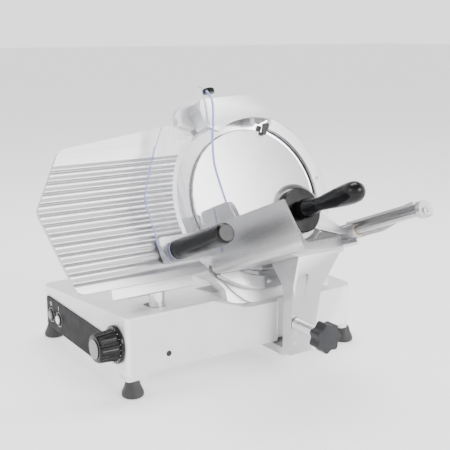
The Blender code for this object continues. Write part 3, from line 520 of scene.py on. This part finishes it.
def ribbed_plate():
    """Gauge plate with soft rounded ribs, on the CAD plate's own outline."""
    low, high = -106.8, 137.2
    rows = 190
    heights = [low + (high - low) * k / rows for k in range(rows + 1)]
    columns = 12
    face, back = -1.0, -9.0
    form = bmesh.new()
    front, rear = [], []
    for height, (x0, x1) in zip(heights, spans("gauge_plate", heights)):
        xs = [x0 + (x1 - x0) * k / columns for k in range(columns + 1)]
        front.append([form.verts.new(Vector((x, height, face - rib_depth(height))) * MM) for x in xs])
        rear.append([form.verts.new(Vector((x, height, back)) * MM) for x in xs])
    for k in range(rows):
        for c in range(columns):
            form.faces.new((front[k][c], front[k][c + 1], front[k + 1][c + 1], front[k + 1][c]))
            form.faces.new((rear[k][c], rear[k + 1][c], rear[k + 1][c + 1], rear[k][c + 1]))
        form.faces.new((front[k][0], front[k + 1][0], rear[k + 1][0], rear[k][0]))
        form.faces.new((front[k][-1], rear[k][-1], rear[k + 1][-1], front[k + 1][-1]))
    for c in range(columns):
        form.faces.new((front[0][c], rear[0][c], rear[0][c + 1], front[0][c + 1]))
        form.faces.new((front[-1][c], front[-1][c + 1], rear[-1][c + 1], rear[-1][c]))
    bmesh.ops.recalc_face_normals(form, faces=form.faces)
    mesh = bpy.data.meshes.new("ribbed_gauge_plate")
    form.to_mesh(mesh)
    form.free()
    obj = piece("ribbed_gauge_plate", mesh, BLADE, PLATE_LOOK, "gauge")
    for polygon in mesh.polygons:
        polygon.use_smooth = True
    bevel = obj.modifiers.new("edges", "BEVEL")
    bevel.width = 0.6 * MM
    bevel.segments = 2
    bevel.limit_method = "ANGLE"
    bevel.angle_limit = math.radians(50)
    obj.modifiers.new("normals", "WEIGHTED_NORMAL").keep_sharp = True
    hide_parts("gauge_plate")


def guard_edges():
    """Cut edges of the clear sheet take the lavender tint of thick plastic."""
    faces_out = 0.55
    sheet = NODES["hand_guard"]
    sheet.data.materials.append(EDGE_LOOK)
    for polygon in sheet.data.polygons:
        if abs(polygon.normal.dot(OUT)) < faces_out:
            polygon.material_index = 1


def tube(name, points, radius, look, body):
    """Round bead along points, in metres, as a mesh."""
    curve = bpy.data.curves.new(name, "CURVE")
    curve.dimensions = "3D"
    curve.bevel_depth = radius * MM
    curve.bevel_resolution = 2
    curve.use_fill_caps = True
    spline = curve.splines.new("POLY")
    spline.points.add(len(points) - 1)
    for point, place in zip(spline.points, points):
        point.co = (*place, 1)
    raw = bpy.data.objects.new(name + "_line", curve)
    bpy.context.scene.collection.objects.link(raw)
    bpy.context.view_layer.update()
    graph = bpy.context.evaluated_depsgraph_get()
    mesh = bpy.data.meshes.new_from_object(raw.evaluated_get(graph))
    bpy.data.objects.remove(raw)
    mesh.materials.clear()
    for polygon in mesh.polygons:
        polygon.use_smooth = True
    return piece(name, mesh, Matrix(), look, body)


def eased(points, steps=8):
    """Smooth curve through the points."""
    ends = [points[0] * 2 - points[1], *points, points[-1] * 2 - points[-2]]
    out = []
    for a, b, c, d in zip(ends, ends[1:], ends[2:], ends[3:]):
        for k in range(steps):
            t = k / steps
            square = (2 * a - 5 * b + 4 * c - d) * t ** 2
            cube = (3 * b - a - 3 * c + d) * t ** 3
            out.append(0.5 * (2 * b + (c - a) * t + square + cube))
    return [*out, points[-1]]


def in_blade(points):
    """Points in mm in the blade frame, as places in metres."""
    return [BLADE @ (Vector(p) * MM) for p in points]


def guard_beads():
    """The cut edges and bends of the thick clear sheet, where they catch the light."""
    right = [(-84, 178), (-77, 160), (-83, 128), (-93, 92), (-98, 56), (-95, 20), (-91, -8)]
    left = [(-186, 98), (-203, 62), (-216, 34), (-220, 12), (-217, -25), (-213, -56)]
    for side, line, s, radius in (("right", right, 47.5, 1.9), ("left", left, 26, 1.1)):
        spots = in_blade((x, v, s) for x, v in line)
        tube(f"guard_edge_{side}", eased(spots), radius, EDGE_LOOK, "carriage")
    for name, x, s in (("front", -172, 31.5), ("rear", -158, 41.5)):
        bend = in_blade((x, v, s) for v in (-40, 0, 40, 80, 118))
        tube(f"guard_bend_{name}", bend, 0.7, LOOKS["clear"], "carriage")


dial_details()
panel_details()
screws()
ribbed_plate()
guard_edges()
guard_beads()


# Camera, floor and light ------------------------------------------------------

def look_from(place, yaw, pitch, lens):
    data = bpy.data.cameras.new("camera")
    data.lens = lens
    data.sensor_width = 36
    camera = bpy.data.objects.new("camera", data)
    bpy.context.scene.collection.objects.link(camera)
    camera.location = place
    camera.rotation_euler = (math.radians(90 - pitch), 0, math.radians(-yaw))
    bpy.context.scene.camera = camera


def floor():
    """Pale floor that glows a little, so that it reads lighter than the castings."""
    form = bmesh.new()
    bmesh.ops.create_grid(form, x_segments=8, y_segments=8, size=25)
    mesh = bpy.data.meshes.new("floor")
    form.to_mesh(mesh)
    form.free()
    obj = bpy.data.objects.new("floor", mesh)
    bpy.context.scene.collection.objects.link(obj)
    s = Shade("pale_floor", (0.98, 0.98, 0.98), 0.8)
    s.vary_rough(s.noise(s.place(), 4, 3), 0.05)
    s.bsdf.inputs["Emission Color"].default_value = (1, 1, 1, 1)
    s.bsdf.inputs["Emission Strength"].default_value = 0.6
    obj.data.materials.append(s.mat)


def area_light(name, place, target, size, power):
    data = bpy.data.lights.new(name, "AREA")
    data.shape = "RECTANGLE"
    data.size, data.size_y = size
    data.energy = power
    light = bpy.data.objects.new(name, data)
    bpy.context.scene.collection.objects.link(light)
    light.location = place
    aim = Vector(target) - Vector(place)
    light.rotation_euler = aim.to_track_quat("-Z", "Y").to_euler()


def sky():
    """Bright horizon, darker overhead, so that the metals have something to reflect."""
    world = bpy.data.worlds.new("studio")
    bpy.context.scene.world = world
    world.use_nodes = True
    tree = world.node_tree
    back = tree.nodes["Background"]
    coord = tree.nodes.new("ShaderNodeTexCoord")
    split = tree.nodes.new("ShaderNodeSeparateXYZ")
    ramp = tree.nodes.new("ShaderNodeValToRGB")
    tree.links.new(coord.outputs["Generated"], split.inputs["Vector"])
    tree.links.new(split.outputs["Z"], ramp.inputs["Fac"])
    tree.links.new(ramp.outputs["Color"], back.inputs["Color"])
    ramp.color_ramp.elements[0].position = 0.0
    ramp.color_ramp.elements[0].color = (1.0, 1.0, 1.0, 1)
    ramp.color_ramp.elements[1].position = 0.85
    ramp.color_ramp.elements[1].color = (0.22, 0.22, 0.23, 1)
    middle = ramp.color_ramp.elements.new(0.35)
    middle.color = (0.95, 0.95, 0.95, 1)
    back.inputs["Strength"].default_value = 1.9


EYE = Vector((-0.5362, -1.0631, 0.5486))
look_from(ORIGIN + EYE, yaw=33.62, pitch=13.26, lens=66.2)
floor()
sky()
area_light("key", (0.9, -2.3, 1.5), (0, 0, 0.2), (1.6, 1.0), 55)
area_light("side", (-2.2, 0.1, 1.3), (0, 0, 0.25), (1.2, 1.0), 12)
area_light("top", (0.2, 0.5, 2.3), (0, 0, 0.1), (1.6, 1.0), 45)
